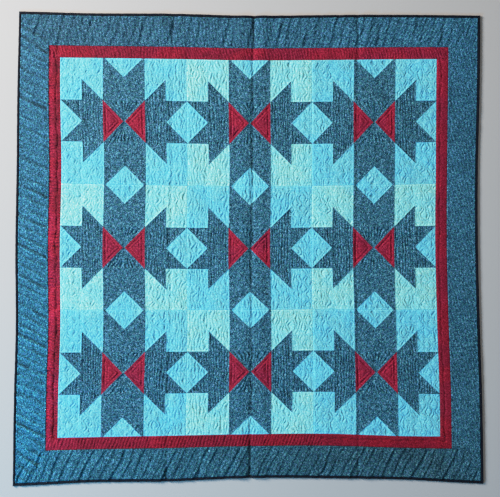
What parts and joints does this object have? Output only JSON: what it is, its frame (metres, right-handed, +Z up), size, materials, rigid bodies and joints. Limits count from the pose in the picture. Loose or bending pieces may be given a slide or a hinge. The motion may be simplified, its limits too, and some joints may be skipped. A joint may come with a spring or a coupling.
{
  "type": "patchwork quilt",
  "caption": "Square throw-size quilt of pieced star blocks with a narrow and a wide border and a folded binding, lying flat with its pieced side up.",
  "frame": {"origin": "on the floor under the middle of the quilt's bounding box", "axes": "+Z up out of the pieced side, +Y towards the top edge as pictured, +X to the right"},
  "size_m": [1.6926, 1.7096, 0.0069],
  "materials": {
    "sky_patchwork": "matt cotton patchwork, sky blue corners, mottled dark teal star and red centre triangles, quilted",
    "mint_patchwork": "matt cotton patchwork, mint corners, mottled dark teal star and red centre triangles, quilted",
    "red_border": "matt dark red cotton, quilted",
    "teal_border": "matt mottled dark teal cotton, quilted",
    "navy_binding": "matt near-black navy cotton, folded over the edge"
  },
  "bodies": {
    "root": {"star_block_11": "sky_patchwork", "star_block_12": "mint_patchwork", "star_block_13": "sky_patchwork", "star_block_21": "mint_patchwork", "star_block_22": "sky_patchwork", "star_block_23": "mint_patchwork", "star_block_31": "sky_patchwork", "star_block_32": "mint_patchwork", "star_block_33": "sky_patchwork", "inner_border_left": "red_border", "inner_border_right": "red_border", "inner_border_top": "red_border", "inner_border_bottom": "red_border", "outer_border_left": "teal_border", "outer_border_right": "teal_border", "outer_border_top": "teal_border", "outer_border_bottom": "teal_border", "binding_left": "navy_binding", "binding_right": "navy_binding", "binding_top": "navy_binding", "binding_bottom": "navy_binding"}
  },
  "joints": []
}
